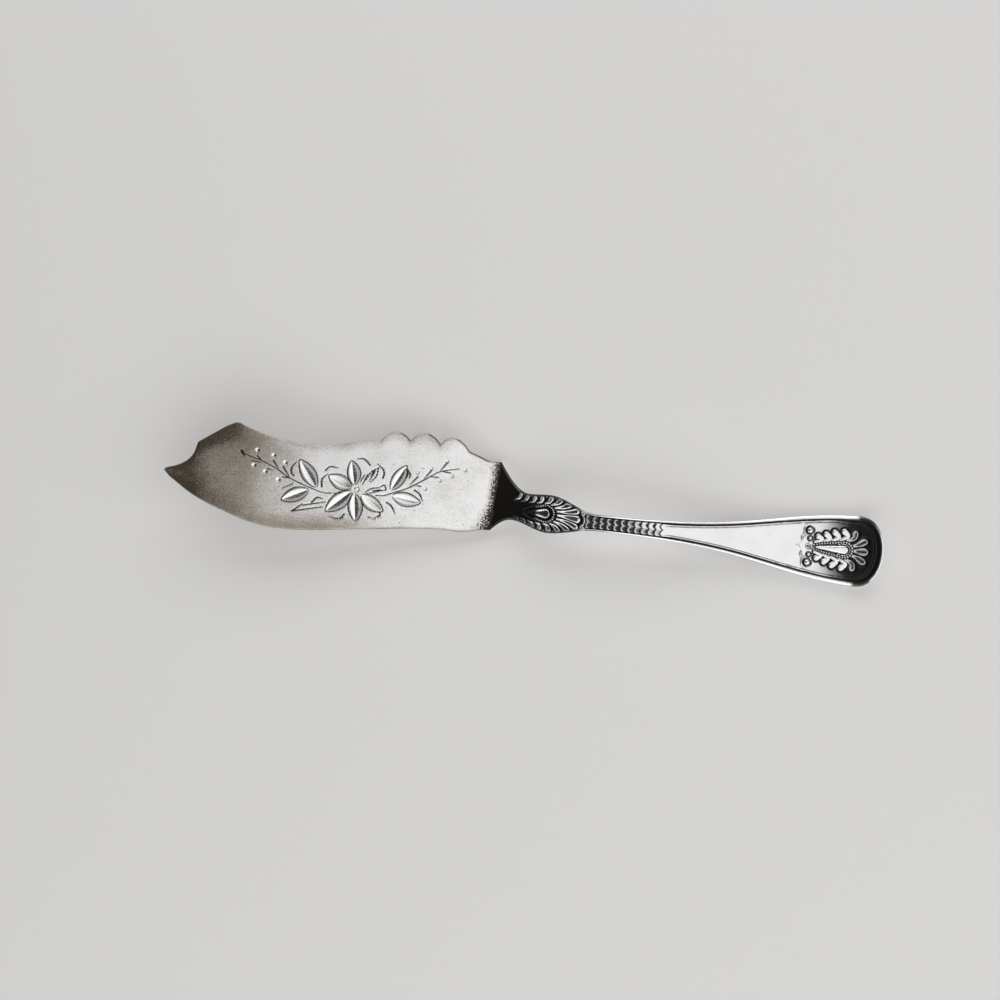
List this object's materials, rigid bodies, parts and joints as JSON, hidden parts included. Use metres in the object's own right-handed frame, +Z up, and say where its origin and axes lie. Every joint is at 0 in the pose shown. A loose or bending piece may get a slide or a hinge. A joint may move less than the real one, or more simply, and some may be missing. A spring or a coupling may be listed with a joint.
{
  "type": "serving knife",
  "caption": "Flat cranked serving knife with a scalloped, engraved sheet blade soldered on a die-struck handle with shell, beaded and palmette ornament, for serving butter, pie or cake.",
  "frame": {"origin": "on the table under the middle of the knife's box, as it lies with the ornamented face up", "axes": "+X from the blade's tip to the handle's end, +Y from the cutting edge to the scalloped back, +Z up out of the table"},
  "size_m": [0.1846, 0.0282, 0.0171],
  "materials": {
    "blade": "worn satin silver plate with bright-cut engraving",
    "handle": "struck silver plate, bright on the high parts and dark with tarnish in the hollows",
    "solder": "dull hard solder under the plate"
  },
  "bodies": {
    "root": {"blade": "blade", "handle": "handle", "solder_seam": "solder"}
  },
  "joints": []
}
